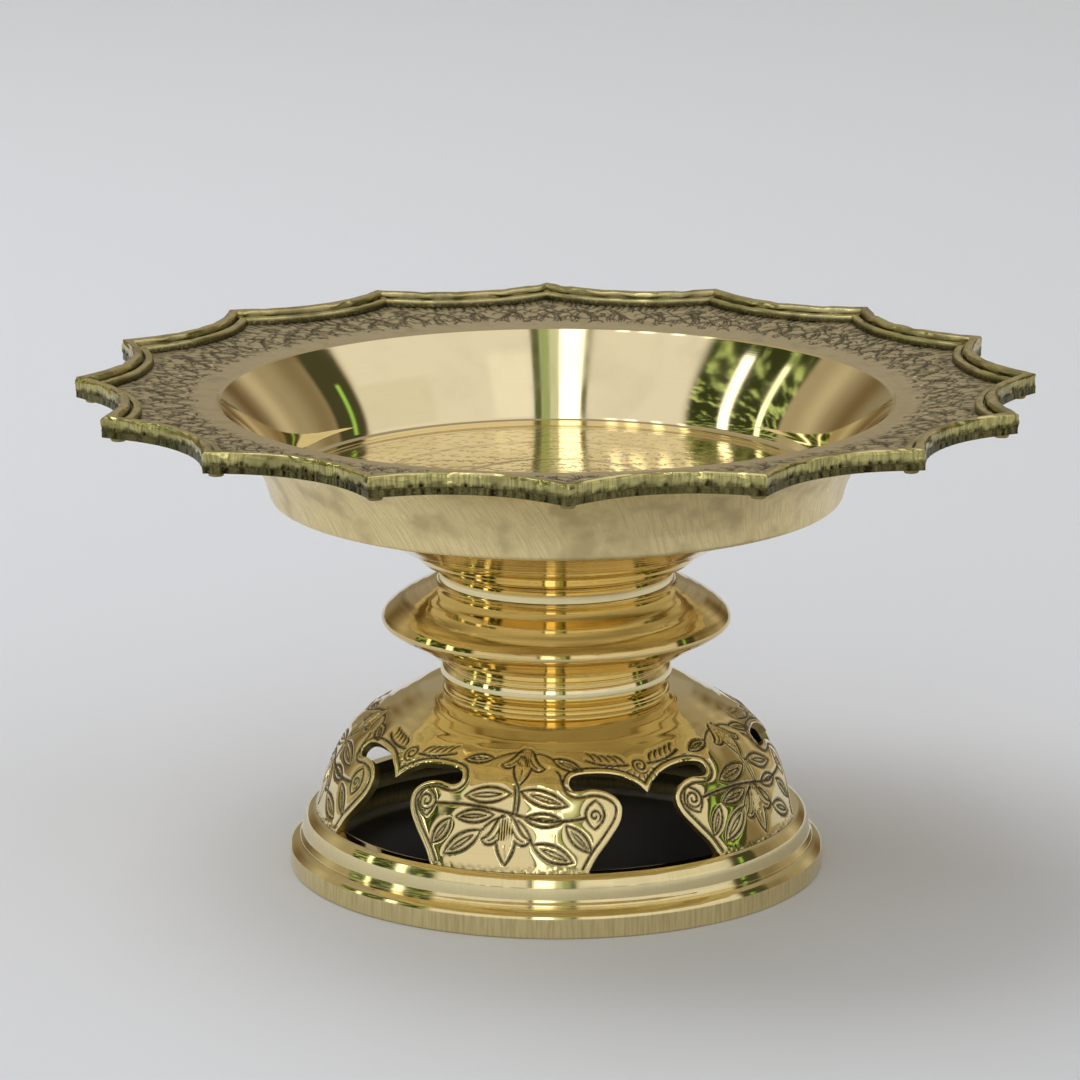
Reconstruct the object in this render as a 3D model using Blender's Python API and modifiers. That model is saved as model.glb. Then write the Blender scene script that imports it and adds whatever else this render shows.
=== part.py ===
"""Pedestal offering bowl in brass: a shallow flanged dish with a sixteen-point rim, on a turned stem and
a domed, pierced base. The parts are stacked on one hidden tie rod. Metres, +Z up, origin at the centre
of the ring that the bowl stands on."""

import math

import bmesh
import bpy
from mathutils import Vector

MM = 0.001
GAP = 0.3 * MM  # kept between two pieces that touch

# Driving sizes
TIP_RADIUS = 102.5 * MM
RIM_TOP = 107.5 * MM
RIM_POINTS = 16
RIM_NOTCH = 0.918  # outline radius halfway between two points, as a share of TIP_RADIUS
RIM_SHARPNESS = 2.2  # how quickly the outline falls away from a point
RIM_CLOCKING = math.radians(1.3)  # the front point stands this far round from -Y towards +X
OPENINGS = 5
OPENING_CLOCKING = math.radians(24.5)  # centre of the first opening, from -Y towards +X

# Rim moulding: a flat outer band, then a lower inner bead
BAND_WIDTH = 2.2 * MM
BEAD_WIDTH = 4.7 * MM
BEAD_TOP = 106.2 * MM
MOULDING_FOOT = 104.5 * MM

# Dish
FLANGE_TOP = MOULDING_FOOT - GAP
FLANGE_THICK = 1.3 * MM
SEAT_RADIUS = 88.0 * MM  # the flange is flat outside this circle and falls towards the well inside it
WELL_RADIUS = 72.2 * MM
WELL_EDGE = 102.7 * MM
FLOOR_TOP = 84.1 * MM
FLOOR_UNDER = 81.6 * MM
BOSS_RADIUS = 8.0 * MM
BOSS_FOOT = 77.0 * MM

# Stem, from the top down
FLARE_TOP = FLOOR_UNDER - GAP
FLARE_FOOT = 73.4 * MM
COLLAR_FOOT = 63.2 * MM
KNOP_FOOT = 47.6 * MM
LOWER_COLLAR_FOOT = 40.6 * MM
STEM_BORE = 3.4 * MM
STEM_HOLLOW = 14.0 * MM

# Base
DOME_TOP = LOWER_COLLAR_FOOT - GAP
DOME_FOOT = 12.5 * MM
DOME_WALL = 1.8 * MM
FOOT_TOP = DOME_FOOT - GAP
FOOT_RADIUS = 57.7 * MM

# Fixings
ROD_RADIUS = 3.0 * MM
ROD_TOP = 81.0 * MM
ROD_FOOT = 28.5 * MM
RIVET_RADIUS = 0.9 * MM
RIVET_CIRCLE = 98.6 * MM
RIVET_TAIL = 1.7 * MM

TURNED_STEPS = 48


def clear_scene():
    for obj in list(bpy.data.objects):
        bpy.data.objects.remove(obj, do_unlink=True)


def brass(name, colour, roughness):
    material = bpy.data.materials.new(name)
    material.use_nodes = True
    shader = material.node_tree.nodes["Principled BSDF"]
    shader.inputs["Base Color"].default_value = (*colour, 1.0)
    shader.inputs["Metallic"].default_value = 1.0
    shader.inputs["Roughness"].default_value = roughness
    return material


def collection(name):
    made = bpy.data.collections.new(name)
    bpy.context.scene.collection.children.link(made)
    return made


def place(name, data, where, material=None):
    obj = bpy.data.objects.new(name, data)
    where.objects.link(obj)
    if material and not data.materials:
        data.materials.append(material)
    return obj


def as_cutter(obj):
    obj.hide_render = True
    obj.display_type = "WIRE"
    return obj


def boolean(obj, operation, other):
    modifier = obj.modifiers.new(operation.title(), "BOOLEAN")
    modifier.operation = operation
    modifier.object = other
    modifier.solver = "EXACT"


# ---- outlines and profiles ----


def bezier(start, leave, arrive, end, steps):
    """Points along one cubic curve in (radius, height), without its start."""
    points = []
    for i in range(1, steps + 1):
        t = i / steps
        u = 1 - t
        weights = (u**3, 3 * u * u * t, 3 * u * t * t, t**3)
        corners = (start, leave, arrive, end)
        points.append(tuple(sum(w * c[k] for w, c in zip(weights, corners)) for k in (0, 1)))
    return points


def millimetres(points):
    return [(r * MM, z * MM) for r, z in points]


def rim_radius(angle):
    """Outline radius of the scalloped rim at an angle from a point of the rim."""
    half = math.pi / RIM_POINTS
    from_point = abs((angle + half) % (2 * half) - half)
    return TIP_RADIUS * (RIM_NOTCH + (1 - RIM_NOTCH) * (1 - from_point / half) ** RIM_SHARPNESS)


def rim_outline(inset, steps=4):
    """Closed outline of the rim, moved inwards by an even width."""
    half = math.pi / RIM_POINTS
    points = []
    for point in range(RIM_POINTS):
        for step in range(2 * steps):
            share = step / steps
            angle = half * (2 * point + share)
            radius = rim_radius(angle)
            slope = (rim_radius(angle + 0.001) - rim_radius(angle + 0.004)) / (0.003 * radius)
            if share > 1:
                slope = (rim_radius(angle - 0.001) - rim_radius(angle - 0.004)) / (0.003 * radius)
            radius -= inset * math.hypot(1, slope)
            turn = angle + RIM_CLOCKING - math.pi / 2
            points.append((radius * math.cos(turn), radius * math.sin(turn)))
    return points


def tangent_side(angle):
    return Vector((math.sin(angle), -math.cos(angle), 0))


# ---- shape makers ----


def turned(name, profile, where, material, closed=False, steps=TURNED_STEPS):
    """A body turned from a profile of (radius, height) that runs down its outer side."""
    mesh = bpy.data.meshes.new(name)
    edges = [(i, i + 1) for i in range(len(profile) - 1)]
    if closed:
        edges.append((len(profile) - 1, 0))
    mesh.from_pydata([(r, 0, z) for r, z in profile], edges, [])
    obj = place(name, mesh, where, material)
    screw = obj.modifiers.new("Turn", "SCREW")
    screw.steps = steps
    screw.render_steps = steps
    screw.use_merge_vertices = True
    screw.merge_threshold = 0.00002
    return obj


def flat_plate(name, outlines, low, high, where, material=None):
    """A plate between two heights, as a mesh, from closed outlines; an outline inside another is a hole."""
    curve = bpy.data.curves.new(name, "CURVE")
    curve.dimensions = "2D"
    curve.fill_mode = "BOTH"
    curve.extrude = (high - low) / 2
    for outline in outlines:
        spline = curve.splines.new("POLY")
        spline.points.add(len(outline) - 1)
        for point, (x, y) in zip(spline.points, outline):
            point.co = (x, y, 0, 1)
        spline.use_cyclic_u = True
    return plate_mesh(name, curve, (low + high) / 2, where, material)


def plate_mesh(name, curve, height, where, material=None):
    guide = bpy.data.objects.new(name + "_outline", curve)
    bpy.context.scene.collection.objects.link(guide)
    guide.location.z = height
    bpy.context.view_layer.update()
    graph = bpy.context.evaluated_depsgraph_get()
    mesh = bpy.data.meshes.new_from_object(guide.evaluated_get(graph))
    mesh.transform(guide.matrix_world)
    bpy.data.objects.remove(guide, do_unlink=True)
    weld(mesh)
    return place(name, mesh, where, material)


def weld(mesh):
    bm = bmesh.new()
    bm.from_mesh(mesh)
    bmesh.ops.remove_doubles(bm, verts=bm.verts, dist=0.000005)
    bmesh.ops.recalc_face_normals(bm, faces=bm.faces)
    bm.to_mesh(mesh)
    bm.free()


def cylinder_mesh(name, radius, low, high, sides):
    mesh = bpy.data.meshes.new(name)
    bm = bmesh.new()
    bmesh.ops.create_cone(
        bm, cap_ends=True, segments=sides, radius1=radius, radius2=radius, depth=high - low
    )
    bmesh.ops.translate(bm, verts=bm.verts, vec=(0, 0, (low + high) / 2))
    bm.to_mesh(mesh)
    bm.free()
    return mesh


# ---- the dish and its rim ----


def dish_profile():
    floor = [(0, FLOOR_TOP), (20 * MM, FLOOR_TOP), (56.2 * MM, FLOOR_TOP)]
    fillet = bezier((56.2, 84.1), (58.6, 84.1), (59.7, 85.2), (60.1, 87.2), 3)
    wall = bezier((60.1, 87.2), (61.7, 92.3), (66.6, 97.4), (71.4, 102.2), 4)
    top = [(WELL_RADIUS, WELL_EDGE), (SEAT_RADIUS, FLANGE_TOP), (108 * MM, FLANGE_TOP)]
    under = [(108 * MM, FLANGE_TOP - FLANGE_THICK), (88.2 * MM, FLANGE_TOP - FLANGE_THICK)]
    under.append((74.8 * MM, WELL_EDGE - 1.1 * MM))
    outer = bezier((74.8, 101.6), (69.4, 97.0), (64.2, 91.4), (62.5, 86.3), 4)
    heel = [(61.3 * MM, 82.2 * MM), (60.7 * MM, FLOOR_UNDER), (BOSS_RADIUS, FLOOR_UNDER)]
    boss = [(BOSS_RADIUS, BOSS_FOOT), (ROD_RADIUS + GAP, BOSS_FOOT)]
    hole = [(ROD_RADIUS + GAP, ROD_TOP + GAP), (0, ROD_TOP + GAP)]
    return floor + millimetres(fillet + wall) + top + under + millimetres(outer) + heel + boss + hole


def add_dish(parts, cutters):
    finish = brass("satin_pale_brass", (0.68, 0.56, 0.30), 0.28)
    dish = turned("dish", dish_profile(), parts, finish)
    scallop = flat_plate(
        "dish_scallop", [rim_outline(0.25 * MM)], FLOOR_UNDER - 20 * MM, RIM_TOP + 5 * MM, cutters
    )
    boolean(dish, "INTERSECT", as_cutter(scallop))
    return dish


def add_rim_moulding(parts):
    """The moulding's section carried round the scalloped outline, which no turned or extruded shape follows."""
    section = [
        (0, MOULDING_FOOT),
        (0, RIM_TOP),
        (BAND_WIDTH, RIM_TOP),
        (BAND_WIDTH + 0.1 * MM, BEAD_TOP - 0.5 * MM),
        (BAND_WIDTH + 0.7 * MM, BEAD_TOP),
        (BEAD_WIDTH - 0.5 * MM, BEAD_TOP),
        (BEAD_WIDTH, MOULDING_FOOT),
    ]
    bm = bmesh.new()
    rings = [[bm.verts.new((x, y, z)) for x, y in rim_outline(inset)] for inset, z in section]
    for ring, following in zip(rings, rings[1:] + rings[:1]):
        for i in range(len(ring)):
            bm.faces.new((ring[i - 1], ring[i], following[i], following[i - 1]))
    bmesh.ops.recalc_face_normals(bm, faces=bm.faces)
    mesh = bpy.data.meshes.new("rim_moulding")
    bm.to_mesh(mesh)
    bm.free()
    finish = brass("olive_antique_brass", (0.40, 0.34, 0.14), 0.35)
    return place("rim_moulding", mesh, parts, finish)


def add_rim_rivets(parts, cutters, drilled):
    """A rivet under each point of the rim, through the flange into the moulding."""
    finish = brass("dark_rivet_brass", (0.30, 0.24, 0.10), 0.45)
    tail_top = FLANGE_TOP - FLANGE_THICK - GAP
    profile = [
        (0, RIM_TOP - 1.2 * MM),
        (RIVET_RADIUS, RIM_TOP - 1.2 * MM),
        (RIVET_RADIUS, tail_top),
        (RIVET_TAIL, tail_top),
        (RIVET_TAIL - 0.2 * MM, tail_top - 0.8 * MM),
        (0, tail_top - 0.8 * MM),
    ]
    shape = turned("rivet_shape", profile, cutters, finish, steps=10)
    as_cutter(shape)
    drill = cylinder_mesh(
        "rivet_drill", RIVET_RADIUS + GAP, FLANGE_TOP - 10 * MM, RIM_TOP - 0.9 * MM, 10
    )
    for i in range(RIM_POINTS):
        angle = RIM_CLOCKING + 2 * math.pi * i / RIM_POINTS
        spot = tangent_side(angle) * RIVET_CIRCLE
        rivet = shape.copy()
        rivet.name = f"rim_rivet_{i + 1:02d}"
        rivet.hide_render = False
        rivet.display_type = "TEXTURED"
        rivet.location = spot
        parts.objects.link(rivet)
        hole = as_cutter(place(f"rivet_hole_{i + 1:02d}", drill, cutters))
        hole.location = spot
        for piece in drilled:
            boolean(piece, "DIFFERENCE", hole)


# ---- the stem ----


def add_stem(parts):
    gold = brass("polished_deep_brass", (0.72, 0.50, 0.14), 0.08)
    pale = brass("polished_pale_brass", (0.78, 0.66, 0.34), 0.10)
    flare = millimetres([(53.6, 81.3), (53.9, 80.9), (37.7, 73.4), (3.4, 73.4), (3.4, 76.2), (36.0, 76.2)])
    turned("stem_flare", flare + [(49.5 * MM, FLARE_TOP)], parts, gold, closed=True)

    top = FLARE_FOOT - GAP
    collar = [(37.4 * MM, top), (31.6 * MM, 70.5 * MM)]
    collar += millimetres(bezier((31.6, 70.5), (30.3, 70.0), (30.6, 68.2), (29.0, 67.7), 3))
    collar += millimetres(bezier((29.0, 67.7), (26.6, 67.2), (25.2, 66.2), (25.3, COLLAR_FOOT / MM), 3))
    collar += [(STEM_HOLLOW, COLLAR_FOOT), (STEM_HOLLOW, top)]
    turned("upper_collar", collar, parts, pale, closed=True)

    top = COLLAR_FOOT - GAP
    knop = [(25.5 * MM, top), (26.2 * MM, 62.1 * MM), (31.2 * MM, 59.1 * MM), (36.3 * MM, 55.8 * MM)]
    knop += millimetres(bezier((36.3, 55.8), (37.5, 55.1), (37.5, 54.0), (36.5, 53.4), 3))
    knop += millimetres([(33.6, 51.3), (28.0, 48.5), (27.9, 47.9), (26.6, KNOP_FOOT / MM)])
    knop += [(STEM_BORE, KNOP_FOOT), (STEM_BORE, 51.0 * MM), (22 * MM, 51.0 * MM)]
    knop += [(29 * MM, 54.5 * MM), (22 * MM, 59.0 * MM), (22 * MM, top)]
    turned("knop_disc", knop, parts, gold, closed=True)

    top = KNOP_FOOT - GAP
    lower = [(25.6 * MM, top), (24.1 * MM, 45.2 * MM)]
    lower += millimetres(bezier((24.1, 45.2), (25.1, 44.4), (25.1, 41.9), (24.1, 41.1), 3))
    lower += [(23.6 * MM, LOWER_COLLAR_FOOT), (STEM_HOLLOW, LOWER_COLLAR_FOOT), (STEM_HOLLOW, top)]
    turned("lower_collar", lower, parts, pale, closed=True)


# ---- the base ----


def dome_profile():
    outer = [(24.6 * MM, DOME_TOP), (31.5 * MM, 37.9 * MM), (40.2 * MM, 32.9 * MM)]
    outer += millimetres(bezier((40.2, 32.9), (47.8, 28.6), (49.6, 20.2), (52.1, DOME_FOOT / MM), 7))
    inner = [(50.2 * MM, DOME_FOOT)]
    inner += millimetres(bezier((50.2, 12.5), (48.0, 19.4), (46.2, 27.0), (39.0, 31.3), 6))
    inner += millimetres([(30.8, 36.0), (24.2, 38.3)])
    inner += [(STEM_BORE, DOME_TOP - DOME_WALL), (STEM_BORE, DOME_TOP)]
    return outer + inner


def opening_outline():
    """One side of a pierced opening as (degrees from its centre, height, corner), from the cusp down."""
    return [
        (0.0, 27.3, True),
        (2.6, 29.2, False),
        (7.5, 30.9, False),
        (14.5, 31.4, False),
        (20.0, 30.9, False),
        (21.0, 29.4, False),
        (19.2, 28.4, False),
        (14.5, 28.6, False),
        (10.3, 27.8, False),
        (7.8, 25.8, False),
        (8.2, 22.9, False),
        (11.2, 19.4, False),
        (14.9, 15.6, False),
        (17.3, 12.2, True),
        (17.9, 9.0, True),
    ]


def add_opening_cutter(name, centre, cutters):
    """A radial wedge through the wall: the flat outline is drawn at the foot of the dome, then bent round."""
    half = opening_outline()
    whole = half + [(-a, z, corner) for a, z, corner in reversed(half[1:])]
    curve = bpy.data.curves.new(name, "CURVE")
    curve.dimensions = "2D"
    curve.fill_mode = "BOTH"
    curve.extrude = 18 * MM
    curve.resolution_u = 2
    spline = curve.splines.new("BEZIER")
    spline.bezier_points.add(len(whole) - 1)
    for point, (angle, height, corner) in zip(spline.bezier_points, whole):
        point.co = (math.radians(angle) * FOOT_RADIUS, height * MM, 0)
        point.handle_left_type = point.handle_right_type = "VECTOR" if corner else "AUTO"
    spline.use_cyclic_u = True
    cutter = plate_mesh(name, curve, 50 * MM, cutters)
    for vertex in cutter.data.vertices:
        side, height, radius = vertex.co
        vertex.co = tangent_side(centre + side / FOOT_RADIUS) * radius + Vector((0, 0, height))
    weld(cutter.data)
    return as_cutter(cutter)


def add_base(parts, cutters):
    polished = brass("chased_polished_brass", (0.74, 0.60, 0.26), 0.10)
    dome = turned("base_dome", dome_profile(), parts, polished, closed=True)
    for i in range(OPENINGS):
        centre = OPENING_CLOCKING + 2 * math.pi * i / OPENINGS
        boolean(dome, "DIFFERENCE", add_opening_cutter(f"opening_{i + 1}", centre, cutters))

    ring = [(52.6 * MM, FOOT_TOP)]
    ring += millimetres([(53.9, 11.5), (54.4, 10.6), (54.7, 7.4), (55.6, 6.3), (55.3, 5.9)])
    ring += millimetres([(56.2, 5.4), (57.4, 4.7)])
    ring += [(FOOT_RADIUS, 4.2 * MM), (FOOT_RADIUS, 0.3 * MM), (FOOT_RADIUS - 0.3 * MM, 0)]
    ring += millimetres([(54.4, 0), (53.6, 0.6), (52.6, 5.4), (50.0, 10.0), (49.9, 12.2)])
    turned("foot_ring", ring, parts, brass("stepped_foot_brass", (0.72, 0.60, 0.28), 0.14), closed=True)


# ---- what holds the stack together ----


def add_fixings(parts, cutters):
    finish = brass("hidden_fixing_brass", (0.55, 0.45, 0.22), 0.40)
    rod = cylinder_mesh("tie_rod", ROD_RADIUS, ROD_FOOT, ROD_TOP, 32)
    place("tie_rod", rod, parts, finish)

    under_dome = DOME_TOP - DOME_WALL - GAP
    washer = [(10 * MM, under_dome), (10 * MM, under_dome - 1.6 * MM)]
    washer += [(STEM_BORE, under_dome - 1.6 * MM), (STEM_BORE, under_dome)]
    turned("fixing_washer", washer, parts, finish, closed=True, steps=48)

    nut_top = under_dome - 1.6 * MM - GAP
    nut = place("fixing_nut", cylinder_mesh("nut", 6.4 * MM, nut_top - 5 * MM, nut_top, 6), parts, finish)
    bore = cylinder_mesh("nut_bore", ROD_RADIUS + GAP, nut_top - 8 * MM, nut_top + 3 * MM, 32)
    boolean(nut, "DIFFERENCE", as_cutter(place("nut_bore", bore, cutters)))


def shade(parts):
    for obj in parts.objects:
        obj.data.shade_smooth()
        obj.data.set_sharp_from_angle(angle=math.radians(30))


def main():
    clear_scene()
    parts = collection("brass_urli_bowl")
    cutters = collection("cutters")
    dish = add_dish(parts, cutters)
    moulding = add_rim_moulding(parts)
    add_rim_rivets(parts, cutters, (dish, moulding))
    add_stem(parts)
    add_base(parts, cutters)
    add_fixings(parts, cutters)
    shade(parts)


main()
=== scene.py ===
"""Looks of the brass pedestal bowl: finely shaped metalwork with its chasing, and the studio round it.

Shapes are in millimetres until a mesh is made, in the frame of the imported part: +Z up, the origin at the
centre of the ring that the bowl stands on, and angles measured from -Y towards +X.
"""

import math

import bmesh
import bpy
import numpy as np
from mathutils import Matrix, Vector


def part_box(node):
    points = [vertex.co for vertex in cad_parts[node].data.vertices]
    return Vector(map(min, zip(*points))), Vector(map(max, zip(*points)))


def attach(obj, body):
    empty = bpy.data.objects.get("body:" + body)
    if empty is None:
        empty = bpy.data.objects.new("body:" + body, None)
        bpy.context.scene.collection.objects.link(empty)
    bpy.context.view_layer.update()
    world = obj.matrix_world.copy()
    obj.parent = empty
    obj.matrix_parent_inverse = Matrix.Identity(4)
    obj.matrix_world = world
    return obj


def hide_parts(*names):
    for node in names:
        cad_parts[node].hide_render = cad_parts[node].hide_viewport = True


MM = 0.001

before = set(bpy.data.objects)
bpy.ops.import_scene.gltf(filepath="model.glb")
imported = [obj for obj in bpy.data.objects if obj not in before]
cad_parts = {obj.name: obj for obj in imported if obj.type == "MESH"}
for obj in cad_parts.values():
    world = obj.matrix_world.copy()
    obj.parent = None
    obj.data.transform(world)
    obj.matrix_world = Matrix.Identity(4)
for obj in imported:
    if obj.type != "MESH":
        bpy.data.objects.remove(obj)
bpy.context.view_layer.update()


def span(node):
    """(lowest corner, highest corner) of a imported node, in millimetres."""
    low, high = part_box(node)
    return np.array(low) / MM, np.array(high) / MM


# ---- driving sizes ----

RIM_POINTS = 16
RIM_NOTCH = 0.918
RIM_SHARPNESS = 2.2
RIM_CLOCKING = math.radians(1.3)
TIP_RADIUS = span("rim_moulding")[1][0] / math.cos(RIM_CLOCKING)
RIM_TOP = span("rim_moulding")[1][2]
MOULDING_FOOT = span("rim_moulding")[0][2]
PACKED_GAP = 0.3
SEAM = 0.28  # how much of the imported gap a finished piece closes
FLANGE_TOP = MOULDING_FOOT - PACKED_GAP + SEAM
FLANGE_UNDER = MOULDING_FOOT - 1.6
SEAT_RADIUS = 88.0  # the flange is flat outside this circle
WELL_RADIUS = 72.2
FLOOR_RADIUS = 56.2
FLOOR_TOP = 84.1
EDGE_INSET = 0.1  # from the scalloped outline to the flange's edge
LIP_TOP = 102.8  # where the well turns into the flange
BORE = 3.4  # radius of the holes for the tie rod

OPENINGS = 5
OPENING_CLOCKING = math.radians(24.5)
PANEL_CLOCKING = OPENING_CLOCKING - math.pi / OPENINGS
DOME_FOOT = span("base_dome")[0][2]
DOME_TOP = span("base_dome")[1][2]
DOME_WALL = 1.8
PATTERN_RADIUS = 50.0  # the dome's pattern is laid out on a strip of this radius

GROOVE = 0.42  # half width of a full chased line
LATHE_PITCH = 2.6  # between the ripples that the lathe leaves


# ---- curves ----


def bezier(start, leave, arrive, end, steps=14):
    t = np.linspace(0, 1, steps + 1)[1:, None]
    start, leave, arrive, end = (np.array(p, float) for p in (start, leave, arrive, end))
    return (1 - t) ** 3 * start + 3 * (1 - t) ** 2 * t * leave + 3 * (1 - t) * t**2 * arrive + t**3 * end


def profile(*parts):
    """Points of (radius, height); a part is a point, or a curve given as (leave, arrive, end)."""
    points = [np.array([parts[0]], float)]
    for part in parts[1:]:
        if np.ndim(part[0]):
            points.append(bezier(points[-1][-1], *part))
        else:
            points.append(np.array([part], float))
    return np.vstack(points)


def soften(points, radius, closed=True, least_turn=14):
    """Rounds each corner that turns more than least_turn degrees."""
    count = len(points)
    made = []
    for i, corner in enumerate(points):
        if not closed and i in (0, count - 1):
            made.append(corner)
            continue
        before = points[i - 1] - corner
        after = points[(i + 1) % count] - corner
        room = min(np.linalg.norm(before), np.linalg.norm(after))
        before, after = before / np.linalg.norm(before), after / np.linalg.norm(after)
        turn = math.pi - math.acos(float(np.clip(before @ after, -1, 1)))
        if turn < math.radians(least_turn):
            made.append(corner)
            continue
        reach = min(radius * math.tan(turn / 2), 0.45 * room)
        start, end = corner + before * reach, corner + after * reach
        for t in np.linspace(0, 1, 5):
            made.append((1 - t) ** 2 * start + 2 * (1 - t) * t * corner + t**2 * end)
    return np.array(made)


def refine(points, spacing, closed=True):
    """Adds points so that no step is longer than spacing."""
    following = np.roll(points, -1, axis=0) if closed else points[1:]
    made = []
    for a, b in zip(points, following):
        steps = max(1, math.ceil(np.linalg.norm(b - a) / spacing))
        made += [a + (b - a) * k / steps for k in range(steps)]
    if not closed:
        made.append(points[-1])
    return np.array(made)


def through(points, corners, steps=10):
    """A closed smooth line through points, with a break where corners says so."""
    points = np.array(points, float)
    count = len(points)
    made = []
    for i in range(count):
        a, b = points[i], points[(i + 1) % count]
        length = np.linalg.norm(b - a)
        along = (b - a) / length
        leave, arrive = along, along
        if not corners[i]:
            leave = b - points[i - 1]
            leave = leave / np.linalg.norm(leave)
        if not corners[(i + 1) % count]:
            arrive = points[(i + 2) % count] - a
            arrive = arrive / np.linalg.norm(arrive)
        made.append(a[None])
        made.append(bezier(a, a + leave * length / 3, b - arrive * length / 3, b, steps)[:-1])
    return np.vstack(made)


def uneven(points, wavelength, amplitude, seed):
    """Slow waves over points in space, as on metal finished by hand."""
    rng = np.random.default_rng(seed)
    waves = 7
    total = np.zeros(len(points))
    for _ in range(waves):
        direction = rng.normal(size=points.shape[1])
        direction *= 2 * math.pi / (wavelength * rng.uniform(0.7, 1.6) * np.linalg.norm(direction))
        total += np.sin(points @ direction + rng.uniform(0, 2 * math.pi))
    return amplitude * total / math.sqrt(waves)


# ---- chased lines ----


def stroke(points, weight=1.0, taper=True):
    """A chased line: its points, and its weight at each, falling towards the ends where it is tapered."""
    points = np.array(points, float)
    share = np.linspace(0, 1, len(points))
    weights = np.full(len(points), float(weight))
    if taper:
        weights *= 0.45 + 0.55 * np.sin(math.pi * share) ** 0.5
    return points, weights


def arc(a, b, bulge, steps=8):
    a, b = np.array(a, float), np.array(b, float)
    side = np.array([a[1] - b[1], b[0] - a[0]])
    side /= max(np.linalg.norm(side), 1e-9)
    t = np.linspace(0, 1, steps + 1)[:, None]
    return a + (b - a) * t + side * bulge * 4 * t * (1 - t)


def leaf(base, tip, width):
    """A pointed leaf: its two sides and a narrow double vein."""
    base, tip = np.array(base, float), np.array(tip, float)
    root, end = base + (tip - base) * 0.2, base + (tip - base) * 0.86
    lines = [stroke(arc(base, tip, side * width / 2), 1.05) for side in (-1, 1)]
    return lines + [stroke(arc(root, end, side * width * 0.13), 0.62) for side in (-1, 1)]


def placed(shapes, origin, forward, length, width):
    """Lines drawn in a unit box, set along forward from origin."""
    forward = np.array(forward, float) / np.linalg.norm(forward)
    side = np.array([-forward[1], forward[0]])
    return [
        stroke([np.array(origin) + side * x * width + forward * y * length for x, y in shape], weight)
        for shape, weight in shapes
    ]


def bell(top, tip, width):
    """A hanging bell flower: a striped cup, two petals that curl out and a pointed tongue."""
    shapes = []
    for side in (-1, 1):
        cup = profile((0.04, 0.0), ((0.24, 0.04), (0.22, 0.4), (0.5, 0.5)))
        petal = profile((0.5, 0.5), ((0.42, 0.66), (0.24, 0.62), (0.17, 0.5)))
        tongue = profile((0.19, 0.52), ((0.19, 0.7), (0.1, 0.85), (0.0, 1.0)))
        petal_vein = profile((0.12, 0.26), ((0.2, 0.45), (0.28, 0.52), (0.38, 0.53)))
        for line, weight in ((cup, 1.0), (petal, 0.95), (tongue, 1.0), (petal_vein, 0.6)):
            shapes.append((line * [side, 1], weight))
        for x in (0.03, 0.085, 0.14):
            shapes.append((np.array([(side * x * 0.8, 0.08), (side * x, 0.5)]), 0.55))
    shapes.append((np.array([(0, 0.6), (0, 0.86)]), 0.7))
    top, tip = np.array(top, float), np.array(tip, float)
    return placed(shapes, top, tip - top, np.linalg.norm(tip - top), width)


def spiral(centre, radius, turns, start, flip=1, weight=0.8):
    t = np.linspace(0, 1, 26)[:, None]
    angle = start + flip * turns * 2 * math.pi * t
    reach = radius * (0.16 + 0.84 * t)
    points = np.array(centre) + np.hstack([np.cos(angle) * reach, np.sin(angle) * reach])
    return [stroke(points, weight)]


def rosette(centre, radius, petals, start=0.0):
    centre = np.array(centre, float)
    ring = np.linspace(0, 2 * math.pi, 13)
    lines = [stroke(centre + 0.3 * radius * np.stack([np.cos(ring), np.sin(ring)], 1), 0.7, False)]
    for k in range(petals):
        angle = start + 2 * math.pi * k / petals
        out = np.array([math.cos(angle), math.sin(angle)])
        lines.append(stroke(arc(centre + 0.42 * radius * out, centre + radius * out, 0.14 * radius), 0.9))
        lines.append(stroke(arc(centre + 0.42 * radius * out, centre + radius * out, -0.14 * radius), 0.9))
    return lines


def line_distance(points, strokes, reach=3.0):
    """Distance from each point to the nearest chased line, divided by that line's weight."""
    nearest = np.full(len(points), reach)
    for line, weights in strokes:
        low, high = line.min(0) - reach, line.max(0) + reach
        near = np.flatnonzero(((points > low) & (points < high)).all(1))
        if not len(near):
            continue
        p = points[near]
        best = nearest[near]
        for a, b, wa, wb in zip(line[:-1], line[1:], weights[:-1], weights[1:]):
            along = b - a
            t = np.clip((p - a) @ along / max(along @ along, 1e-9), 0, 1)
            away = p - a - t[:, None] * along
            best = np.minimum(best, np.hypot(away[:, 0], away[:, 1]) / (wa + t * (wb - wa)))
        nearest[near] = best
    return nearest


def cut(distance, depth, pillow=0.0, pillow_reach=1.3):
    """(height, patina) beside chased lines: a rounded V, and a soft fall of the metal towards it."""
    groove = np.clip(1 - distance / GROOVE, 0, 1)
    height = -depth * groove**0.8 - pillow * np.exp(-((distance / pillow_reach) ** 2))
    return height, np.clip(1.4 - distance / GROOVE, 0, 1) ** 0.8


def segment_distance(points, line):
    """(distance, nearest point, inside) of points to a closed line."""
    best = np.full(len(points), 1e9)
    nearest = np.zeros_like(points)
    inside = np.zeros(len(points), bool)
    for a, b in zip(line, np.roll(line, -1, axis=0)):
        along = b - a
        t = np.clip((points - a) @ along / max(along @ along, 1e-12), 0, 1)
        spot = a + t[:, None] * along
        distance = np.hypot(*(points - spot).T)
        closer = distance < best
        best[closer] = distance[closer]
        nearest[closer] = spot[closer]
        crosses = (a[1] > points[:, 1]) != (b[1] > points[:, 1])
        level = (b[0] - a[0]) * (points[:, 1] - a[1]) / (along[1] if along[1] else 1e-12) + a[0]
        inside ^= crosses & (points[:, 0] < level)
    return best, nearest, inside


# ---- meshes ----


def around(angle, radius, height):
    """Points in space from angles, radii and heights."""
    height = np.broadcast_to(height, np.shape(radius * angle))
    return np.stack([np.sin(angle) * radius, -np.cos(angle) * radius, height], -1)


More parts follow.
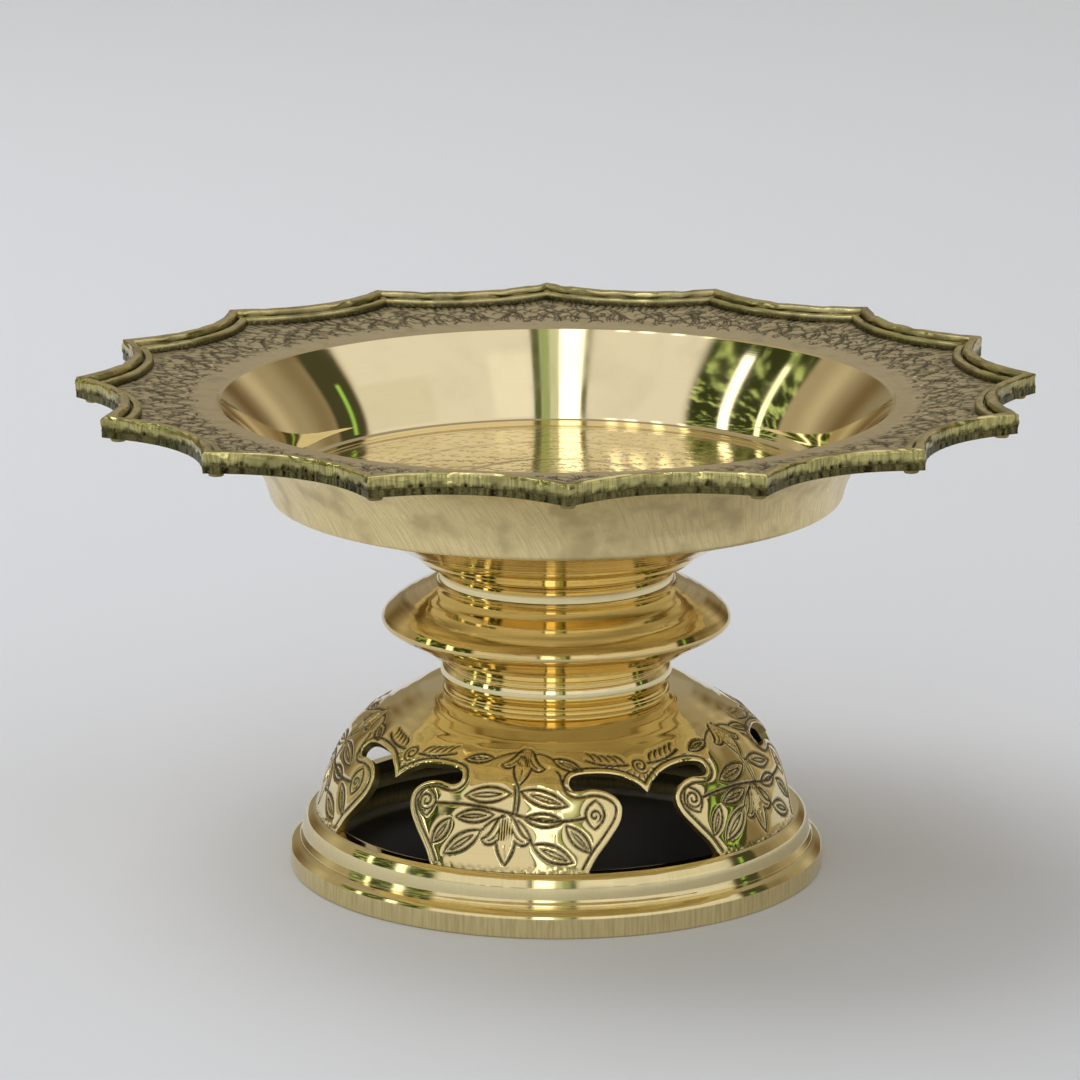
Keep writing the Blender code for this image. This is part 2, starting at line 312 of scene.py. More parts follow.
def ring_angles(columns):
    return np.arange(columns) * 2 * math.pi / columns


def waves_along(along, wavelength, amplitude, seed, offset=0.0):
    """uneven along a line; lines with unlike offsets wave differently."""
    return uneven(np.stack([along, along * 0 + offset], 1), wavelength, amplitude, seed)


def finished(name, points, faces, materials, slots=None, attributes=None, sharp=35):
    """A closed, smooth-shaded mesh in metres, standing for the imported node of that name."""
    mesh = bpy.data.meshes.new(name + "_finished")
    mesh.from_pydata((np.asarray(points) * MM).tolist(), [], faces)
    for key, values in (attributes or {}).items():
        mesh.attributes.new(key, "FLOAT", "POINT").data.foreach_set("value", values.astype(np.float32))
    for material in materials:
        mesh.materials.append(material)
    if slots is not None:
        mesh.polygons.foreach_set("material_index", np.asarray(slots, np.int32))
    bm = bmesh.new()
    bm.from_mesh(mesh)
    bmesh.ops.remove_doubles(bm, verts=bm.verts, dist=0.002 * MM)
    bmesh.ops.recalc_face_normals(bm, faces=bm.faces)
    bm.to_mesh(mesh)
    bm.free()
    mesh.shade_smooth()
    mesh.set_sharp_from_angle(angle=math.radians(sharp))
    piece = bpy.data.objects.new(name + "_finished", mesh)
    bpy.context.scene.collection.objects.link(piece)
    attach(piece, "root")
    return piece


def bridge(first, second, first_count, second_count):
    """Faces between two closed rings of points; one may have half as many points as the other."""
    faces = []
    if first_count == second_count:
        for i in range(first_count):
            j = (i + 1) % first_count
            faces.append((first + i, first + j, second + j, second + i))
        return faces
    fine, coarse, coarse_count = first, second, second_count
    if second_count > first_count:
        fine, coarse, coarse_count = second, first, first_count
    for i in range(coarse_count):
        j = (i + 1) % coarse_count
        a, b, c = (2 * i, 2 * i + 1, (2 * i + 2) % (2 * coarse_count))
        faces.append((fine + a, fine + b, coarse + i))
        faces.append((fine + b, coarse + j, coarse + i))
        faces.append((fine + b, fine + c, coarse + j))
    return faces


def strips(rows, columns, closed=True):
    """Faces over rows of points, each row a ring of so many columns."""
    faces = []
    for row in range(rows if closed else rows - 1):
        faces += bridge(row * columns, (row + 1) % rows * columns, columns, columns)
    return faces


def turned_piece(
    name,
    section,
    material,
    slot,
    columns=288,
    spacing=1.0,
    round_off=0.3,
    wave=0.012,
    band=None,
    ripple=0.0,
):
    """A turned ring from a closed section; band is (material, top) for a second finish below a height."""
    section = refine(soften(section, round_off), spacing)
    rows = len(section)
    tangent = np.roll(section, -1, axis=0) - np.roll(section, 1, axis=0)
    tangent /= np.maximum(np.linalg.norm(tangent, axis=1)[:, None], 1e-6)
    run = np.cumsum(np.linalg.norm(section - np.roll(section, 1, axis=0), axis=1))
    turning = ripple * np.sin(2 * math.pi * run / LATHE_PITCH)
    section = section + tangent[:, ::-1] * [-1, 1] * turning[:, None]
    points = around(ring_angles(columns)[None, :], section[:, :1], section[:, 1:]).reshape(-1, 3)
    outwards = points * [1, 1, 0] / np.maximum(np.hypot(points[:, :1], points[:, 1:2]), 1)
    points = points + outwards * uneven(points, 26, wave, 3)[:, None]
    slots = []
    for row in range(rows):
        low = band is not None and (section[row, 1] + section[(row + 1) % rows, 1]) / 2 < band[1]
        slots += [int(low)] * columns
    materials = [material] if band is None else [material, band[0]]
    piece = finished(name, points, strips(rows, columns), materials, slots, sharp=60)
    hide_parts(name)


# ---- materials ----


def node(tree, kind, inputs=None, **settings):
    """A shader node; an input is a value, or an output to link."""
    made = tree.nodes.new("ShaderNode" + kind)
    for key, value in settings.items():
        setattr(made, key, value)
    for key, value in (inputs or {}).items():
        if isinstance(value, bpy.types.NodeSocket):
            tree.links.new(value, made.inputs[key])
        else:
            made.inputs[key].default_value = value
    return made


def calc(tree, operation, a, b=0.0, c=0.0):
    return node(tree, "Math", {0: a, 1: b, 2: c}, operation=operation).outputs[0]


def product(tree, a, b):
    return calc(tree, "MULTIPLY", a, b)


def ramp(tree, value, low, high, out_low=0.0, out_high=1.0):
    inputs = {"Value": value, "From Min": low, "From Max": high, "To Min": out_low, "To Max": out_high}
    return node(tree, "MapRange", inputs, interpolation_type="SMOOTHSTEP").outputs["Result"]


def blend(tree, share, first, second):
    """Colour between first and second."""
    mix = node(tree, "Mix", data_type="RGBA")
    for socket, value in ((0, share), (6, first), (7, second)):
        if isinstance(value, bpy.types.NodeSocket):
            tree.links.new(value, mix.inputs[socket])
        else:
            mix.inputs[socket].default_value = (*value, 1) if socket else value
    return mix.outputs[2]


def grain(tree, x, y, z, detail=2.0):
    """Noise at a place made of three numbers."""
    place = node(tree, "CombineXYZ", {"X": x, "Y": y, "Z": z}).outputs[0]
    inputs = {"Vector": place, "Scale": 1.0, "Detail": detail, "Roughness": 0.5}
    return node(tree, "TexNoise", inputs).outputs["Fac"]


PATINA_SHADE = 0.18  # brightness of full patina, as a share of the dark tone
PATINA_DULLNESS = 0.35  # added to the roughness by full patina


def brass(
    name,
    clean,
    dark,
    roughness,
    lay="turned",
    lay_depth=0.004,
    lay_mark=0.1,
    stain=0.1,
    stain_size=14.0,
    stain_edge=(0.45, 0.72),
    uneven_gloss=0.06,
    patina_gain=1.0,
):
    """Brass with a lay of fine marks, slow stains and dark patina in what is cut.

    lay is turned (round the axis), upright (up the wall), slanted, or filed (across the rim's edge)."""
    material = bpy.data.materials.new(name)
    material.use_nodes = True
    tree = material.node_tree
    shader = tree.nodes["Principled BSDF"]
    shader.inputs["Metallic"].default_value = 1.0

    where = node(tree, "TexCoord").outputs["Object"]
    where = node(tree, "VectorMath", {0: where, "Scale": 1 / MM}, operation="SCALE").outputs[0]
    x, y, z = node(tree, "SeparateXYZ", {0: where}).outputs
    radius = calc(tree, "SQRT", calc(tree, "ADD", product(tree, x, x), product(tree, y, y)))
    angle = calc(tree, "ARCTAN2", x, product(tree, y, -1.0))

    # The lay is noise that changes quickly across the marks and slowly along them.
    if lay == "turned":
        lines = grain(tree, product(tree, radius, 4.2), product(tree, z, 4.2), angle)
    elif lay == "upright":
        lines = grain(tree, product(tree, angle, 90.0), product(tree, z, 0.12), 0.0, 3.0)
    elif lay == "slanted":
        slant = calc(tree, "MULTIPLY_ADD", angle, 150.0, product(tree, z, 1.1))
        lines = grain(tree, product(tree, slant, 0.8), product(tree, z, 0.16), 0.0, 4.0)
    else:
        along = node(tree, "Attribute", attribute_name="along").outputs["Fac"]
        lines = grain(tree, product(tree, along, 1.9), product(tree, z, 0.22), 0.0)

    slow = node(tree, "TexNoise", {"Vector": where, "Scale": 1 / stain_size, "Detail": 4.0}).outputs["Fac"]
    if lay == "turned" and stain > 0.3:  # heavy stains on a turned piece run round it
        slow = grain(tree, product(tree, radius, 0.4), product(tree, z, 0.4), angle, 4.0)
    fine = node(tree, "TexNoise", {"Vector": where, "Scale": 1.7, "Detail": 2.0}).outputs["Fac"]
    patina = node(tree, "Attribute", attribute_name="patina").outputs["Fac"]
    patina = product(tree, patina, patina_gain)
    patina = product(tree, patina, ramp(tree, fine, 0.2, 0.55, 0.72, 1.0))

    marks = ramp(tree, lines, 0.35, 0.7, 0.0, lay_mark)
    stains = ramp(tree, slow, *stain_edge, 0.0, stain)
    worn = calc(tree, "MAXIMUM", marks, stains)
    colour = blend(tree, worn, clean, dark)
    darkest = tuple(PATINA_SHADE * c for c in dark)
    colour = blend(tree, node(tree, "Clamp", {0: patina}).outputs[0], colour, darkest)
    tree.links.new(colour, shader.inputs["Base Color"])

    gloss = ramp(tree, slow, 0.35, 0.7, roughness, roughness + uneven_gloss)
    gloss = calc(tree, "MULTIPLY_ADD", patina, PATINA_DULLNESS, gloss)
    tree.links.new(gloss, shader.inputs["Roughness"])

    bump = node(tree, "Bump", {"Height": lines, "Distance": lay_depth * MM, "Strength": 1.0})
    tree.links.new(bump.outputs[0], shader.inputs["Normal"])
    return material


WELL_GOLD = (0.92, 0.80, 0.52)
GOLD_DARK = (0.20, 0.13, 0.035)
ANTIQUE_DARK = (0.055, 0.045, 0.022)

polished = brass("well_polished_brass", WELL_GOLD, GOLD_DARK, 0.035, lay_depth=0.0015, lay_mark=0.02)
engraved = brass(
    "floor_engraved_brass", WELL_GOLD, (0.30, 0.22, 0.09), 0.09, lay_depth=0.002, lay_mark=0.06
)
antique = brass(
    "flange_antique_brass", (0.90, 0.78, 0.53), (0.085, 0.062, 0.03), 0.32, lay_depth=0.002, stain=0.25,
    stain_size=6.0, uneven_gloss=0.12, patina_gain=0.86,
)
satin = brass(
    "underside_satin_brass", (0.86, 0.71, 0.37), (0.33, 0.24, 0.11), 0.27, lay="slanted",
    lay_depth=0.006, lay_mark=0.30, stain=0.5, stain_size=8.0,
)
filed = brass(
    "rim_filed_brass", (0.60, 0.54, 0.22), (0.08, 0.068, 0.02), 0.14, lay="filed", lay_depth=0.03,
    lay_mark=0.6, stain=0.5, stain_size=10.0, stain_edge=(0.45, 0.66), uneven_gloss=0.12,
)
ridge = brass(
    "rim_ridge_brass", (0.80, 0.71, 0.36), (0.16, 0.13, 0.045), 0.08, lay="filed", lay_depth=0.004,
    lay_mark=0.12, stain=0.5, stain_size=8.0, stain_edge=(0.46, 0.66), uneven_gloss=0.14,
)
sawn = brass("pierced_edge_brass", (0.42, 0.33, 0.14), ANTIQUE_DARK, 0.42, stain=0.4, stain_size=4.0)
riveted = brass("rivet_dark_brass", (0.30, 0.24, 0.10), ANTIQUE_DARK, 0.4, stain=0.5, stain_size=3.0)
deep = brass(
    "stem_deep_brass", (0.80, 0.62, 0.28), (0.17, 0.10, 0.02), 0.04, lay_depth=0.005, lay_mark=0.18,
    stain=0.62,
)
pale = brass("collar_pale_brass", (0.88, 0.76, 0.45), GOLD_DARK, 0.035, lay_depth=0.003, lay_mark=0.05)
chased = brass(
    "dome_chased_brass", (0.84, 0.70, 0.37), (0.24, 0.16, 0.05), 0.04, lay_depth=0.0015, lay_mark=0.04
)
foot = brass(
    "foot_polished_brass", (0.86, 0.74, 0.42), GOLD_DARK, 0.05, lay="upright", lay_depth=0.002, lay_mark=0.06
)
foot_band = brass(
    "foot_brushed_brass", (0.84, 0.71, 0.38), GOLD_DARK, 0.13, lay="upright", lay_depth=0.006, lay_mark=0.30
)
# inside of the dome: dull unpolished metal, made near black as painted shade so the openings look dark
inside_dark_and_painted_shade = brass("inside_dark_painted_shade_brass", (0.06, 0.055, 0.05), (0.02, 0.018, 0.015), 0.55, stain=0.5)
hidden = brass("fixing_plain_brass", (0.55, 0.45, 0.22), GOLD_DARK, 0.34, lay_mark=0.3, stain=0.4)


# ---- the rim's outline ----


def rim_radius(angle, inset=0.0):
    """Radius of the scalloped outline at an angle from one of its points, moved inwards by inset."""
    half = math.pi / RIM_POINTS
    nudge = 0.004  # radians, over which the outline's slope is measured

    def plain(turn):
        from_point = np.abs((turn + half) % (2 * half) - half)
        return TIP_RADIUS * (RIM_NOTCH + (1 - RIM_NOTCH) * (1 - from_point / half) ** RIM_SHARPNESS)

    radius = plain(angle)
    folded = (angle + half) % (2 * half) - half
    step = np.where(folded < 0, -nudge, nudge)
    step = np.where(np.abs(folded) > half - nudge, -step, step)
    slope = (plain(angle + step) - radius) / (nudge * radius)
    return radius - inset * np.hypot(1, slope)


# ---- the dish ----


def flange_lobe(seed):
    """Chased lines of one lobe, in (millimetres across from the lobe's axis, radius)."""
    rng = np.random.default_rng(seed)

    def jitter(size=0.5):
        return rng.uniform(-size, size, 2)

    lines = []
    hooks, hook_pitch = 9, 3.6
    hook_rows = (76.6, 79.2, 81.8, 84.3, 86.7)
    rosette_room = 3.4
    for row, radius in enumerate(hook_rows):
        for k in range(hooks):
            across = (k + 0.5 * (row % 2) - hooks / 2) * hook_pitch
            flip = 1 if (k + row) % 2 else -1
            start = np.array([across, radius]) + jitter(0.35)
            if row == len(hook_rows) - 1 and abs(across) < rosette_room:
                continue
            end = start + [flip * rng.uniform(1.6, 2.6), rng.uniform(1.2, 2.3)]
            lines.append(stroke(arc(start, end, flip * rng.uniform(0.7, 1.1), 6), 0.68))
            if (k + row) % 3 == 0:
                lines += spiral(start + [0, 0.9], rng.uniform(1.1, 1.5), 0.9, rng.uniform(0, 6), flip, 0.66)

    half_lobe = 17
    vine_wave, vine_height = 6.8, 1.25
    across = np.linspace(-half_lobe, half_lobe, 69)
    for radius, phase in ((80.5, 0.0), (85.3, 1.6)):
        vine = radius + vine_height * np.sin(2 * math.pi * across / vine_wave + phase)
        lines.append(stroke(np.stack([across, vine], 1), 0.66, False))

    fronds, frond_pitch, frond_foot = 8, 4.1, 77.6
    for k in range(fronds):
        flip = 1 if k % 2 else -1
        start = np.array([(k - (fronds - 1) / 2) * frond_pitch, frond_foot]) + jitter()
        end = start + [flip * rng.uniform(3.4, 5.0), rng.uniform(7.4, 9.4)]
        for side in (-0.85, 0.0, 0.85):
            strand = arc(start + [side, 0], end + [side * 0.4, 0], flip * rng.uniform(1.5, 2.1), 8)
            lines.append(stroke(strand, 0.62))
    lines += rosette(np.array([0, 88.4]) + jitter(0.3), 2.3, 7, rng.uniform(0, 1))

    feathers, feather_reach = 27, 17.6
    highest, fall = 96.4, 6.4  # where the feathers end: under the point, and how much lower at the sides
    for k in range(feathers):
        share = (k / (feathers - 1)) * 2 - 1
        across = share * feather_reach
        top = highest - fall * abs(share) ** 0.8 + rng.uniform(-0.9, 0.0)
        length = rng.uniform(4.2, 7.2) * (1 - 0.3 * abs(share))
        if abs(across) < 3.2:
            length = rng.uniform(3.6, 4.6)
        root = np.array([across * 0.94 + rng.uniform(-0.4, 0.4), top - length])
        lines.append(stroke(arc(root, (across, top), rng.uniform(-0.8, 0.8), 6), 1.0))

    fills = 12
    for k in range(fills):
        side = -1 if k % 2 else 1
        start = np.array([side * rng.uniform(3.6, 10.5), rng.uniform(88.2, 90.6)])
        end = start + [side * rng.uniform(1.2, 2.6), rng.uniform(0.6, 2.0)]
        lines.append(stroke(arc(start, end, rng.uniform(-0.8, 0.8), 5), 0.7))
    return lines


def floor_lines():
    """Engraving of the dish's floor: rings, and a field of short curled marks between them."""
    rng = np.random.default_rng(21)

    def out(turn):
        return np.array([math.cos(turn), math.sin(turn)])

    lines = []
    for radius in (9.0, 20.4, 21.2, 38.0, 38.8, 52.6):
        ring = np.linspace(0, 2 * math.pi, 73)
        lines.append(stroke(radius * np.stack([np.cos(ring), np.sin(ring)], 1), 0.6, False))
    row_spacing, mark_spacing = 2.1, 3.1
    for radius in np.arange(11.0, 52.0, row_spacing):
        marks = int(2 * math.pi * radius / mark_spacing)
        for k in range(marks):
            turn = 2 * math.pi * (k + rng.uniform(-0.25, 0.25)) / marks
            start = out(turn) * (radius + rng.uniform(-0.4, 0.4))
            heading = turn + (1 if k % 2 else -1) * rng.uniform(0.6, 1.7)
            end = start + out(heading) * rng.uniform(1.4, 2.7)
            lines.append(stroke(arc(start, end, rng.uniform(-0.9, 0.9), 4), 0.62))
    lines += rosette((0, 0), 7.5, 8)
    return lines


def dish():
    fine, medium = 1440, 720
    fine_angle, medium_angle = ring_angles(fine), ring_angles(medium)
    materials = [polished, engraved, antique, satin, filed]
    rings = []  # (part of the dish, points round it, their places, material), from the floor's middle out

    def add(kind, angle, radius, height, material):
        rings.append((kind, len(angle), around(angle, radius, height), materials.index(material)))

    floor_rows, crown_height = 104, 0.25
    for row in range(1, floor_rows + 1):
        radius = FLOOR_RADIUS * row / floor_rows
        crown = crown_height * (1 - (radius / FLOOR_RADIUS) ** 2) - crown_height
        add("floor", medium_angle, radius, FLOOR_TOP + crown, engraved)
    wall = profile(
        (FLOOR_RADIUS, FLOOR_TOP), ((58.6, 84.1), (59.7, 85.2), (60.1, 87.2)),
        ((61.7, 92.3), (66.6, 97.4), (71.4, 102.2)), (71.75, 102.55), (72.3, LIP_TOP),
    )
    for radius, height in refine(wall, 1.0, closed=False)[1:]:
        add("wall", medium_angle, radius, height, polished)

    # The flange's rings run from round ones at the lip to ones that follow the scallops at the edge.
    flange_rows = 62
    edge = rim_radius(fine_angle - RIM_CLOCKING, EDGE_INSET)
    flange_start = 72.6
    notch = TIP_RADIUS * RIM_NOTCH
    for row in range(flange_rows + 1):
        share = row / flange_rows
        even = flange_start + (notch - 0.4 - flange_start) * share
        bend = np.clip((even - SEAT_RADIUS + 9) / (notch + 8.6 - SEAT_RADIUS), 0, 1)
        radius = even + (edge - notch + 0.4) * bend
        height = np.interp(radius, (WELL_RADIUS, SEAT_RADIUS), (LIP_TOP, FLANGE_TOP))
        add("flange", fine_angle, radius, height, antique)
    for height in (FLANGE_TOP - 0.4, FLANGE_TOP - 0.9, FLANGE_UNDER):
        add("edge", fine_angle, edge, height, filed)
    under = rim_radius(medium_angle - RIM_CLOCKING, 0.8)
    for share in (0.0, 0.25, 0.5, 0.75, 1.0):
        radius = under + (SEAT_RADIUS - 1.2 - under) * share
        add("under", medium_angle, radius, FLANGE_UNDER, satin)
    outer = profile(
        (86.0, FLANGE_UNDER - 0.2), (76.4, 102.05), ((73.2, 101.2), (66.8, 95.9), (62.5, 86.3)),
        ((61.9, 84.6), (61.6, 83.3), (61.35, 82.4)), ((61.1, 81.9), (60.9, 81.6), (60.3, 81.6)),
        (8.4, 81.6), (8.0, 81.2), (8.0, 77.0), (3.3, 77.0), (3.3, 81.3),
    )
    for radius, height in refine(outer, 1.3, closed=False):
        add("under", medium_angle, radius, height, satin)

    kinds, counts, places, ring_slots = zip(*rings)
    starts = np.concatenate([[0], np.cumsum(counts)])
    points = np.vstack(places)
    kinds = np.repeat(kinds, counts)
    patina = np.zeros(len(points))
    angle = np.arctan2(points[:, 0], -points[:, 1])
    radius = np.hypot(points[:, 0], points[:, 1])

    floor = np.flatnonzero(kinds == "floor")
    height, dark = cut(line_distance(points[floor, :2], floor_lines(), 1.5), 0.05, 0.01)
    from_edge = FLOOR_RADIUS - radius[floor]
    points[floor, 2] += height * np.clip(from_edge / 2, 0, 1)
    points[floor, 2] += uneven(points[floor], 17, 0.03, 5) * np.clip(from_edge / 4, 0, 1)
    patina[floor] = dark * 0.42

    flange = np.flatnonzero(kinds == "flange")
    outline = rim_radius(angle[flange] - RIM_CLOCKING, EDGE_INSET)
    pitch = 2 * math.pi / RIM_POINTS
    lobe = np.floor((angle[flange] - RIM_CLOCKING) / pitch + 0.5).astype(int)
    for number in np.unique(lobe):
        members = flange[lobe == number]
        across = (angle[members] - RIM_CLOCKING - number * pitch) * radius[members]
        spots = np.stack([across, radius[members]], 1)
        distance = line_distance(spots, flange_lobe(100 + number % RIM_POINTS), 1.5)
        height, dark = cut(distance, 0.28, 0.04, 0.8)
        points[members, 2] += height
        crowded = np.clip((radius[members] - 86) / 9, 0, 1)
        patina[members] = np.maximum(dark, 0.12 * crowded)
    patina[flange[radius[flange] > outline - 0.6]] = 0.8
    points[flange, 2] += uneven(points[flange], 15, 0.05, 9)

    wall_members = np.flatnonzero(kinds == "wall")
    swell = uneven(np.stack([angle[wall_members] * 60, points[wall_members, 2] * 0.6], 1), 40, 0.02, 8)
    points[wall_members, :2] *= (1 + swell / radius[wall_members])[:, None]

    along = angle * TIP_RADIUS * 1.1
    faces, slots = [], []
    centre = len(points)
    for i in range(medium):
        faces.append((starts[0] + i, starts[0] + (i + 1) % medium, centre))
        slots.append(materials.index(engraved))
    for k in range(len(rings) - 1):
        strip = bridge(starts[k], starts[k + 1], counts[k], counts[k + 1])
        faces += strip
        slots += [ring_slots[k + 1]] * len(strip)
    last = starts[len(rings) - 1]
    for i in range(medium):
        faces.append((last + i, last + (i + 1) % medium, centre + 1))
        slots.append(materials.index(satin))

    lip = np.flatnonzero(kinds == "edge")
    teeth = np.abs(waves_along(along[lip], 1.5, 0.09, 13))
    points[lip, :2] *= (1 - teeth / radius[lip])[:, None]
    patina[lip] = np.clip(0.66 + 3.0 * teeth, 0, 1)
    top_centre = points[floor[:medium], 2].mean()
    points = np.vstack([points, [[0, 0, top_centre], [0, 0, 81.3]]])
    attributes = {"patina": np.append(patina, [0, 0]), "along": np.append(along, [0, 0])}
    piece = finished("dish", points, faces, materials, slots, attributes, sharp=50)
    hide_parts("dish")


# ---- the rim ----


def rim_moulding():
    top = RIM_TOP - 0.1
    bead = RIM_TOP - 1.35
    section = profile(
        (0.0, MOULDING_FOOT), (0.0, top - 1.0), ((0.0, top - 0.3), (0.3, top), (0.9, top)),
        ((1.5, top), (2.2, top - 0.2), (2.25, top - 1.2)), (2.4, top - 1.9), (2.7, top - 1.9),
        ((2.7, bead - 0.2), (3.0, bead), (3.5, bead)),
        ((4.1, bead), (4.6, bead - 0.3), (4.65, bead - 1.0)), (4.7, MOULDING_FOOT),
    )
    section = refine(section, 0.5)
    columns = RIM_POINTS * 128
    angle = ring_angles(columns)
    flat = around(angle + RIM_CLOCKING, rim_radius(angle), 0)
    along = np.concatenate([[0], np.cumsum(np.linalg.norm(np.diff(flat, axis=0), axis=1))])
    teeth = np.abs(waves_along(along, 1.0, 0.09, 13))
    ragged = MOULDING_FOOT + 0.7 + waves_along(along, 2.4, 0.35, 14)  # top of the dark, toothed zone
    points, patina = [], []
    for inset, height in section:
        lower = np.clip((ragged - height) / 0.5 + 0.5, 0, 1) * (inset < 0.1)
        dents = waves_along(along, 5.5, 1.0, 12, offset=2.5 * height + 1.5 * inset)
        depth = np.clip(0.16 * dents + 0.1, 0, 0.45) * (inset < 2.3) + teeth * lower
        radius = rim_radius(angle, inset + depth + 0.02)
        sag = np.clip(0.10 * dents, 0, None) * (height > bead - 0.2)
        points.append(around(angle + RIM_CLOCKING, radius, height - sag))
        groove = math.exp(-(((inset - 2.5) / 0.4) ** 2)) + math.exp(-(((inset - 4.75) / 0.3) ** 2))
        patina.append(np.clip(groove + lower * (0.55 + 4.0 * teeth), 0, 1))
    rows = len(section)
    slots = []
    for row in range(rows):
        slots += [int(section[row, 0] + section[(row + 1) % rows, 0] > 0.3)] * columns
    attributes = {"patina": np.concatenate(patina), "along": np.tile(along, rows)}
    faces = strips(rows, columns)
    piece = finished("rim_moulding", np.vstack(points), faces, [filed, ridge], slots, attributes, sharp=70)
    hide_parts("rim_moulding")


def rivets():
    for number in range(1, RIM_POINTS + 1):
        name = f"rim_rivet_{number:02d}"
        low, high = span(name)
        centre = (low + high) / 2
        tail = (high[0] - low[0]) / 2
        section = profile(
            (0.05, high[2]), (0.9, high[2]), (0.9, low[2] + 0.8), (tail, low[2] + 0.8),
            (tail - 0.2, low[2] + 0.1), (0.05, low[2]),
        )
        section = refine(soften(section, 0.25), 0.6)
        columns = 40
        points = around(ring_angles(columns)[None, :], section[:, :1], section[:, 1:]).reshape(-1, 3)
        points[:, 2] += uneven(points, 2.2, 0.04, number) * (points[:, 2] < low[2] + 0.6)
        points += [centre[0], centre[1], 0]
        piece = finished(name, points, strips(len(section), columns), [riveted])
        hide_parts(name)


# ---- the stem ----


def stem():
    lathe = {"spacing": 0.5, "ripple": 0.012}
    flare = profile(
        (53.6, 81.3 + SEAM), (53.9, 80.9), (38.3, 73.7), (37.7, 73.4), (BORE, 73.4), (BORE, 76.2),
        (36, 76.2), (49.5, 81.3 + SEAM),
    )
    turned_piece("stem_flare", flare, deep, "deep_brass", round_off=0.25, **lathe)
    collar = profile(
        (37.6, 73.1 + SEAM), (34.6, 71.75), (34.3, 71.45), (31.7, 70.5),
        ((30.3, 70.0), (30.6, 68.2), (29.0, 67.7)), ((26.6, 67.2), (25.2, 66.2), (25.3, 63.2)),
        (14, 63.2), (14, 73.1 + SEAM),
    )
    turned_piece("upper_collar", collar, pale, "pale_brass", spacing=0.6)
    knop = profile(
        (25.4, 62.9 + SEAM), ((25.6, 62.5), (26.1, 62.5), (27.1, 62.1)),
        ((30.0, 60.7), (34.0, 58.9), (36.5, 56.5)), ((37.7, 55.3), (38.0, 54.2), (37.0, 53.5)),
        ((36.0, 52.6), (34.7, 52.0), (33.6, 51.3)), (33.3, 51.35), (31.6, 50.2), (31.3, 50.3),
        (28.2, 48.7), (27.9, 47.9), (26.6, 47.6), (BORE, 47.6), (BORE, 51), (22, 51), (29, 54.5),
        (22, 59), (22, 62.9 + SEAM),
    )
    turned_piece("knop_disc", knop, deep, "deep_brass", round_off=0.2, **lathe)
    lower = profile(
        (25.8, 47.3 + SEAM), (25.2, 46.4), ((24.8, 45.6), (23.9, 45.4), (23.9, 45.0)),
        ((25.3, 44.4), (25.3, 41.9), (24.0, 41.1)), (23.7, 40.6 - SEAM), (14, 40.6 - SEAM),
        (14, 47.3 + SEAM),
    )
    turned_piece("lower_collar", lower, pale, "pale_brass", spacing=0.5, round_off=0.15)


# ---- the base ----

DOME_LINE = profile(
    (52.1, DOME_FOOT), ((49.6, 20.2), (47.8, 28.6), (40.2, 32.9)), (31.5, 37.9),
    ((29.4, 39.1), (27.5, 40.2), (24.6, DOME_TOP)),
)
DOME_RUN = np.concatenate([[0], np.cumsum(np.hypot(*np.diff(DOME_LINE, axis=0).T))])


def run_at(height):
    """Distance up the dome's surface from its foot, at a height."""
    inside = np.interp(height, DOME_LINE[:, 1], DOME_RUN)
    return np.where(np.asarray(height) < DOME_FOOT, np.asarray(height) - DOME_FOOT, inside)


def opening_outline():
    """A pierced opening as (millimetres across, distance up the dome)."""
    half = [
        (0.0, 27.3, True), (2.6, 29.2, False), (7.5, 30.9, False), (14.5, 31.4, False),
        (20.0, 30.9, False), (21.0, 29.4, False), (19.2, 28.4, False), (14.5, 28.6, False),
        (10.3, 27.8, False), (7.8, 25.8, False), (8.2, 22.9, False), (11.2, 19.4, False),
        (14.9, 15.6, False), (17.3, 12.2, True), (17.9, 9.0, True),
    ]
    whole = half + [(-angle, height, corner) for angle, height, corner in reversed(half[1:])]
    points = [(math.radians(a) * PATTERN_RADIUS, float(run_at(z))) for a, z, _ in whole]
    return through(points, [corner for _, _, corner in whole])


